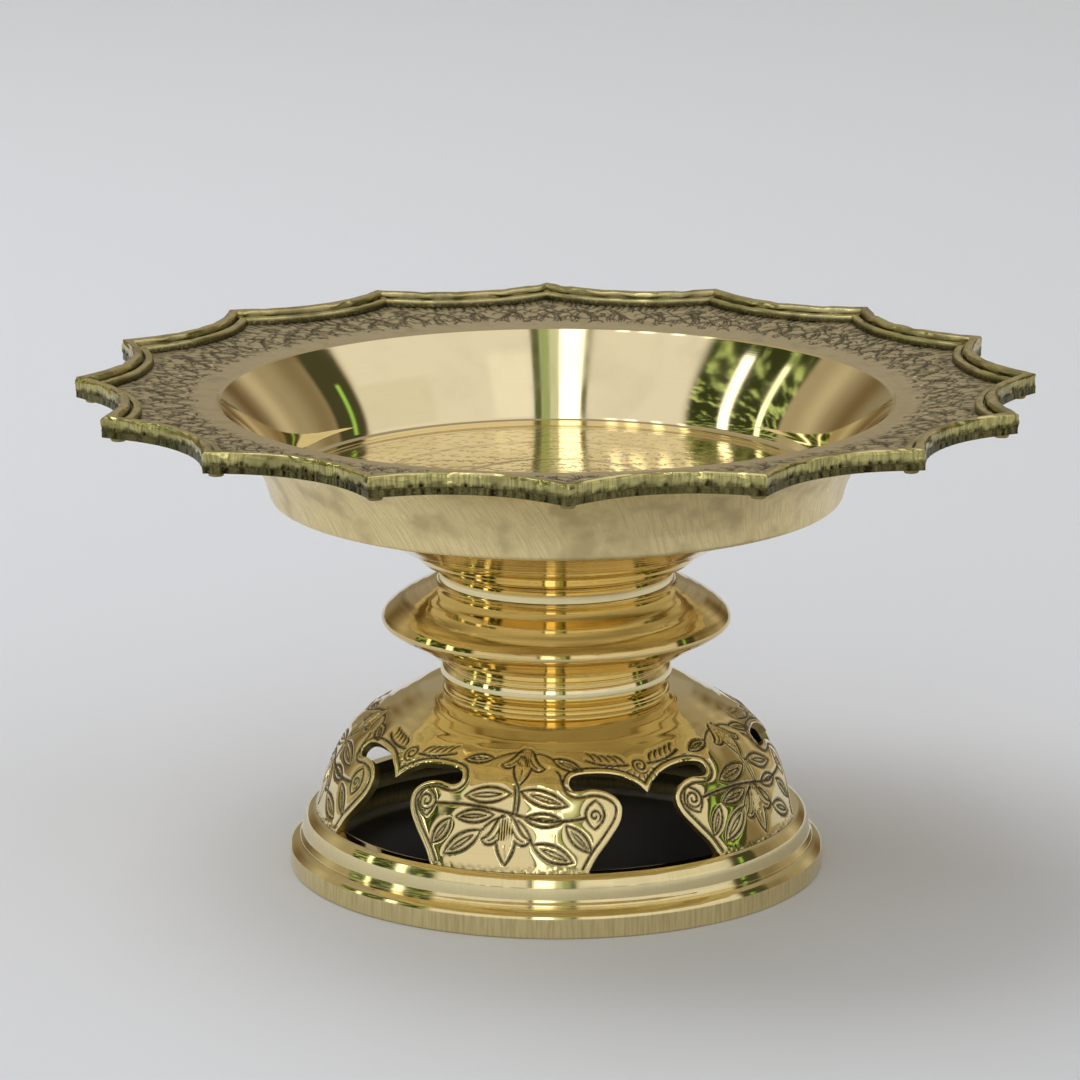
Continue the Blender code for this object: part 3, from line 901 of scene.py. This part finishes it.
def panel_lines():
    """Chasing of one panel between two openings: bell flowers, leaves on a vine, a rose and a bud."""
    lines = bell((2.0, 28.4), (1.2, 18.4), 11.5)
    lines += bell((-0.8, 12.0), (-0.5, 1.3), 10.6)
    for base, tip, width in (
        ((-0.2, 16.7), (-11.1, 15.4), 3.5), ((1.8, 17.3), (12.7, 14.2), 3.4),
        ((-3.6, 11.8), (-12.4, 10.6), 2.8), ((3.0, 11.4), (11.7, 10.8), 2.9),
        ((-6.2, 8.4), (-13.9, 2.6), 3.4), ((5.1, 5.9), (13.5, 2.2), 3.4),
        ((-13.3, 10.2), (-17.0, 4.3), 2.8), ((12.1, 10.0), (17.4, 4.1), 2.8),
        ((-6.5, 25.2), (-14.6, 24.0), 2.6), ((9.0, 25.6), (16.8, 22.2), 2.8),
    ):
        lines += leaf(base, tip, width)
    for a, b, bulge, weight in (
        ((0.3, 18.4), (0.6, 12.4), 0.3, 0.8), ((1.2, 18.4), (1.4, 12.4), 0.3, 0.8),
        ((-17.8, 12.8), (0.8, 12.2), 0.9, 1.0), ((0.8, 12.2), (16.2, 11.4), -0.8, 1.0),
        ((-5.8, 8.6), (-1.2, 11.6), 0.5, 0.8), ((5.0, 6.0), (1.8, 10.8), -0.6, 0.8),
        ((-6.4, 25.2), (0.2, 27.4), 0.4, 0.8), ((4.4, 27.2), (9.2, 25.6), 0.4, 0.8),
    ):
        lines.append(stroke(arc(a, b, bulge), weight, False))
    lines.append(stroke(bezier((9.4, 22.6), (12.6, 21.5), (9.6, 18.2), (14.2, 17.4), 12), 0.9, False))
    lines += spiral((-20.3, 13.0), 2.1, 1.6, 2.2, 1, 0.85)
    lines += leaf((-19.4, 9.8), (-21.2, 15.9), 4.6)[:2]
    lines += spiral((18.5, 11.9), 1.4, 1.3, 0.6, -1, 0.8)
    lines += leaf((18.2, 9.0), (18.9, 15.3), 4.2)[:2]
    return lines


def cusp_lines():
    """Chasing above one opening: a rose between two feathered leaves."""
    lines = spiral((0.4, 22.6), 2.3, 1.8, 0.4, 1, 0.85)
    rose = np.array([0.4, 22.8])
    for k in range(7):
        turn = math.radians(200 + 23 * k)
        out = np.array([math.cos(turn), math.sin(turn)])
        lines.append(stroke([rose + out * 2.9, rose + out * 4.3], 0.8))
    for side in (-1, 1):
        for k in range(5):
            base = np.array([side * (3.6 + 1.9 * k), 23.4 + 0.35 * k])
            lines.append(stroke(arc(base, base + [side * 2.2, 2.4], side * 0.5), 0.9))
        lines.append(stroke(arc((side * 2.8, 22.9), (side * 13.5, 25.0), side * -0.6), 1.0, False))
    return lines


def dome():
    columns = 1140
    cell = 0.275
    snap_reach = 0.52 * cell
    fine_run = np.arange(0, 30.0, cell)
    rows_run = np.concatenate([fine_run, np.arange(30.4, DOME_RUN[-1] - 0.5, 0.9), [DOME_RUN[-1]]])
    rows = len(rows_run)
    angle = ring_angles(columns)
    across = np.tile(angle * PATTERN_RADIUS, rows)
    run = np.repeat(rows_run, columns)

    pitch = 2 * math.pi / OPENINGS * PATTERN_RADIUS
    middle = OPENING_CLOCKING * PATTERN_RADIUS
    folded = (across - middle + pitch / 2) % pitch - pitch / 2
    outline = opening_outline()

    # Points near an opening's outline move onto it, except along the foot, which stays level.
    spots = np.stack([folded, run], 1)
    distance, nearest, inside = segment_distance(spots, outline)
    snapped = distance < snap_reach
    spots = np.where((snapped & (run > 0))[:, None], nearest, spots)
    spots[:, 1] = np.clip(spots[:, 1], 0, None)
    across = across + spots[:, 0] - folded
    run = spots[:, 1]
    state = np.where(snapped, 0, np.where(inside, -1, 1))
    distance = np.where(snapped, 0, distance)

    radius = np.interp(run, DOME_RUN, DOME_LINE[:, 0])
    height = np.interp(run, DOME_RUN, DOME_LINE[:, 1])
    slope = np.gradient(DOME_LINE, axis=0)
    slope = slope / np.linalg.norm(slope, axis=1)[:, None]
    normal_r = np.interp(run, DOME_RUN, slope[:, 1])
    normal_z = np.interp(run, DOME_RUN, -slope[:, 0])

    panel = (across - PANEL_CLOCKING * PATTERN_RADIUS + pitch / 2) % pitch - pitch / 2
    lines = line_distance(np.stack([panel, run], 1), panel_lines())
    lines = np.minimum(lines, line_distance(spots, cusp_lines()))
    far, border_inset = 3.0, 1.35
    bordered = (run > 0.6) & (run < 27) & ~inside
    border = np.where(bordered, np.abs(distance - border_inset) / 0.9, far)
    lines = np.minimum(lines, np.clip(border, 0, far))
    relief, patina = cut(lines / 0.9, 0.25, 0.08, 1.0)
    surface = np.stack([across, run], 1)
    beaten = uneven(surface, 10, 0.075, 17)
    relief = relief + beaten * np.clip(run / 4, 0, 1) * np.clip((31 - run) / 9, 0, 1)
    edge = np.clip(1 - distance / 0.4, 0, 1)
    relief = relief - 0.22 * edge**2
    shoulder = np.clip((run - 26) / 4, 0, 1)
    relief = relief + 0.022 * shoulder * np.sin(2 * math.pi * run / 3.3)
    solder = np.clip(1.4 - run, 0, 1) * (0.6 + uneven(surface, 1.3, 0.4, 23))
    relief = relief + 0.12 * solder
    patina = np.maximum(patina, 0.55 * solder)
    relief = relief * np.clip((DOME_RUN[-1] - run) / 4, 0, 1)
    patina = np.where(distance < 0.45, patina * 0.2, patina)

    turn = across / PATTERN_RADIUS
    outer = around(turn, radius + relief * normal_r, height + relief * normal_z)
    inner_height = np.maximum(height - DOME_WALL * normal_z, DOME_FOOT + 0.02)
    inner = around(turn, radius - DOME_WALL * normal_r, inner_height)
    outer[:, 2] = np.clip(outer[:, 2], DOME_FOOT, DOME_TOP)
    hub = span("tie_rod")[1][0] + 0.4
    outer = np.vstack([outer, around(angle, hub + 0 * angle, DOME_TOP)])
    inner = np.vstack([inner, around(angle, hub + 0 * angle, DOME_TOP - DOME_WALL)])
    state = np.concatenate([state, np.ones(columns)])
    patina = np.concatenate([patina, np.zeros(columns)])

    total = len(outer)
    faces, doubtful = [], []
    for row in range(rows):
        for i in range(columns):
            j = (i + 1) % columns
            quad = (row * columns + i, row * columns + j, (row + 1) * columns + j, (row + 1) * columns + i)
            kept = tuple(v for v in quad if state[v] >= 0)
            if len(kept) < 3:
                continue
            if max(state[v] for v in kept) > 0:
                faces.append(kept)
            else:
                doubtful.append(kept)
    middles = [spots[list(face)].mean(0) for face in doubtful]
    cut_away = segment_distance(np.array(middles), outline)[2]
    faces += [face for face, gone in zip(doubtful, cut_away) if not gone]
    directed = {(face[k], face[(k + 1) % len(face)]) for face in faces for k in range(len(face))}
    rim = [(a, b) for a, b in directed if (b, a) not in directed]
    walls = [(b, a, a + total, b + total) for a, b in sorted(rim)]
    inner_faces = [tuple(v + total for v in reversed(face)) for face in faces]
    slots = [0] * len(faces) + [1] * len(inner_faces) + [2] * len(walls)
    faces = faces + inner_faces + walls

    used = np.unique(np.array([v for face in faces for v in face]))
    index = np.full(2 * total, -1)
    index[used] = np.arange(len(used))
    points = np.vstack([outer, inner])[used]
    patina = np.concatenate([patina, np.zeros(total)])[used]
    faces = [tuple(int(index[v]) for v in face) for face in faces]
    materials = [chased, inside_dark_and_painted_shade, sawn]
    piece = finished("base_dome", points, faces, materials, slots, {"patina": patina}, sharp=42)
    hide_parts("base_dome")


def foot_ring():
    section = profile(
        (52.4, 12.2 + SEAM), ((53.4, 12.0), (53.8, 11.7), (54.2, 11.0)),
        ((54.5, 10.4), (54.6, 9.0), (54.7, 7.5)), ((54.9, 6.9), (55.6, 6.7), (55.6, 6.3)),
        (55.3, 5.95), ((55.9, 5.6), (56.9, 5.2), (57.4, 4.7)), (57.7, 4.3), (57.7, 0.3), (57.4, 0.0),
        (54.4, 0.0), (53.6, 0.6), (52.6, 5.4), (50.0, 10.0), (49.9, 12.2 + SEAM),
    )
    turned_piece(
        "foot_ring", section, foot, "foot_brass", columns=480, spacing=0.6, round_off=0.2, wave=0.03,
        band=(foot_band, 4.5),
    )


# ---- the hidden fixings ----


def fixings():
    low, high = span("tie_rod")
    shank = high[0]
    thread_pitch, thread_depth, thread_top = 1.25, 0.28, 40.0
    columns, rows = 48, 300
    angle = ring_angles(columns)
    points = []
    for height in np.linspace(low[2], high[2], rows):
        phase = (height / thread_pitch - angle / (2 * math.pi)) % 1
        depth = thread_depth * np.abs(2 * phase - 1) * (height < thread_top)
        chamfer = max(0.0, 0.6 - min(height - low[2], high[2] - height))
        points.append(around(angle, shank - depth - chamfer, height))
    faces = strips(rows, columns, closed=False)
    faces.append(tuple(range(columns)))
    faces.append(tuple(range((rows - 1) * columns, rows * columns)))
    rod = finished("tie_rod", np.vstack(points), faces, [hidden])
    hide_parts("tie_rod")
    for name in ("fixing_washer", "fixing_nut"):
        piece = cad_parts[name]
        piece.data.materials.clear()
        piece.data.materials.append(hidden)
        bevel = piece.modifiers.new("Edges", "BEVEL")
        bevel.width = 0.25 * MM
        bevel.segments = 3
        bevel.limit_method = "ANGLE"


# ---- the studio ----

VIEW_PITCH = math.radians(13.83)

# The surroundings that the brass mirrors, painted on the world as cards and foliage. A card's place is the
# facing of a surface that mirrors it to the front camera: turn is from -Y towards +X and tilt is up from
# level, both in degrees. Later cards cover earlier ones.
CARDS = (
    # (turn from, to, tilt from, to, softness, colour)
    (-90, 90, 58, 90, 4, (0.34, 0.31, 0.26)),  # wall behind the bowl
    (-28, 43, 7, 56, 1.5, (0.78, 0.76, 0.73)),  # pale front panel
    (26, 43, 12, 40, 1.0, (0.72, 0.70, 0.64)),
    (5, 13, 12, 44, 1.0, (0.88, 0.87, 0.83)),
    (3.0, 4.6, 6, 57, 0.3, (0.10, 0.12, 0.05)),
    (1.2, 3.0, 6, 57, 0.3, (0.34, 0.42, 0.20)),
    (-0.5, 1.2, 6, 57, 0.3, (0.62, 0.66, 0.50)),
    (-5.0, -0.5, 6, 57, 0.4, (2.0, 2.0, 1.95)),
    (-6.2, -5.0, 6, 57, 0.4, (0.14, 0.15, 0.07)),
    (52, 58, 4, 57, 6.0, (0.16, 0.12, 0.06)),
    (43.5, 52, 5, 57, 0.8, (0.06, 0.06, 0.03)),
    (46.3, 47.3, 12, 42, 0.4, (0.36, 0.66, 0.13)),
    (-12.5, -10.5, 47, 58, 0.6, (1.9, 1.9, 1.8)),
    (-17.0, -14.5, 47, 58, 0.6, (1.8, 1.8, 1.6)),
    (-22.5, -20.5, 47, 58, 0.6, (1.9, 1.9, 1.7)),
    (-28.0, -26.5, 47, 58, 0.6, (1.5, 1.6, 1.2)),
    (76, 84, 4, 57, 4.0, (0.15, 0.10, 0.05)),
    (68, 72, 4, 57, 4.0, (0.58, 0.50, 0.36)),
    (-38.5, -36, 6, 46, 0.5, (2.3, 2.3, 2.1)),
    (-47.5, -46, 8, 46, 0.4, (1.7, 1.8, 1.3)),
    (-80, -70, 4, 57, 5.0, (0.17, 0.12, 0.06)),
    (-64, -60, 4, 57, 4.0, (0.56, 0.50, 0.35)),
)
GARDEN = (-53, -28, 3, 50)  # foliage seen past the right edge of the panel
HEDGE = (-85, 85, 2.5, 7.5)  # foliage along the horizon


def surroundings():
    world = bpy.data.worlds.new("soft_studio")
    bpy.context.scene.world = world
    world.use_nodes = True
    tree = world.node_tree
    background = tree.nodes["Background"]
    direction = node(tree, "TexCoord").outputs["Generated"]
    to_camera = (0, -math.cos(VIEW_PITCH), math.sin(VIEW_PITCH))
    facing = node(tree, "VectorMath", {0: direction, 1: to_camera}, operation="ADD").outputs[0]
    facing = node(tree, "VectorMath", {0: facing}, operation="NORMALIZE").outputs[0]
    x, y, z = node(tree, "SeparateXYZ", {0: facing}).outputs
    turn = calc(tree, "DEGREES", calc(tree, "ARCTAN2", x, product(tree, y, -1.0)))
    tilt = calc(tree, "DEGREES", calc(tree, "ARCSINE", z))

    def card(low_turn, high_turn, low_tilt, high_tilt, soft):
        left = ramp(tree, turn, low_turn - soft, low_turn + soft)
        right = ramp(tree, turn, high_turn + soft, high_turn - soft)
        under = ramp(tree, tilt, low_tilt - soft, low_tilt + soft)
        over = ramp(tree, tilt, high_tilt + soft, high_tilt - soft)
        return product(tree, product(tree, left, right), product(tree, under, over))

    sides = ramp(tree, calc(tree, "ABSOLUTE", turn), 40, 90)
    colour = blend(tree, sides, (0.42, 0.36, 0.25), (0.27, 0.23, 0.15))
    upright = node(tree, "VectorMath", {0: direction, 1: (1.0, 1.0, 0.22)}, operation="MULTIPLY").outputs[0]
    leaves = node(tree, "TexNoise", {"Vector": upright, "Scale": 15.0, "Detail": 3.0}).outputs["Fac"]
    leaves = ramp(tree, leaves, 0.47, 0.68)
    foliage = blend(tree, leaves, (0.035, 0.045, 0.015), (0.50, 0.62, 0.24))
    colour = blend(tree, card(*GARDEN, 0.8), colour, foliage)
    for *place, tone in CARDS:
        colour = blend(tree, card(*place), colour, tone)
    gaps = blend(tree, leaves, (0.10, 0.11, 0.05), (1.35, 1.35, 1.2))
    colour = blend(tree, card(*HEDGE, 1.5), colour, gaps)
    tree.links.new(colour, background.inputs["Color"])
    background.inputs["Strength"].default_value = 1.04


def key_light():
    key = bpy.data.lights.new("key", "AREA")
    key.shape = "DISK"
    key.size = 1.6
    key.energy = 14
    lamp = bpy.data.objects.new("key", key)
    lamp.location = (-0.7, 0.5, 1.5)
    lamp.rotation_euler = (Vector((0, 0, 0.05)) - lamp.location).to_track_quat("-Z", "Y").to_euler()
    lamp.visible_glossy = False
    bpy.context.scene.collection.objects.link(lamp)


def pale_floor_painted_shadow():
    """A pale floor with a painted shadow: dark inside the foot ring, where it shows through the pierced
    openings.
    """
    half = 6.0
    mesh = bpy.data.meshes.new("floor")
    corners = [(-half, -half, 0), (half, -half, 0), (half, half, 0), (-half, half, 0)]
    mesh.from_pydata(corners, [], [(0, 1, 2, 3)])
    floor = bpy.data.objects.new("floor", mesh)
    paint = bpy.data.materials.new("pale_floor_painted_shadow")
    paint.use_nodes = True
    tree = paint.node_tree
    shader = tree.nodes["Principled BSDF"]
    place = node(tree, "TexCoord").outputs["Object"]
    from_axis = node(tree, "VectorMath", {0: place}, operation="LENGTH").outputs["Value"]
    # painted shadow: the floor is dark within the foot ring, standing in for the shade inside the base
    painted_shadow_under_base = ramp(tree, from_axis, 0.049, 0.052)
    tone = blend(tree, painted_shadow_under_base, (0.05, 0.05, 0.055), (0.68, 0.70, 0.78))
    tree.links.new(tone, shader.inputs["Base Color"])
    shader.inputs["Roughness"].default_value = 0.6
    mesh.materials.append(paint)
    bpy.context.scene.collection.objects.link(floor)


def camera():
    data = bpy.data.cameras.new("camera")
    data.sensor_width = 36
    data.lens = 180
    cam = bpy.data.objects.new("camera", data)
    target = Vector((-0.0035, 0, 0.0711))
    away = 1.158
    cam.location = (0, -away * math.cos(VIEW_PITCH), target.z + away * math.sin(VIEW_PITCH))
    cam.rotation_euler = (target - cam.location).to_track_quat("-Z", "Y").to_euler()
    bpy.context.scene.collection.objects.link(cam)
    bpy.context.scene.camera = cam


camera()
surroundings()
key_light()
pale_floor_painted_shadow()
bpy.context.scene.view_settings.view_transform = "Standard"
dish()
rim_moulding()
rivets()
stem()
dome()
foot_ring()
fixings()
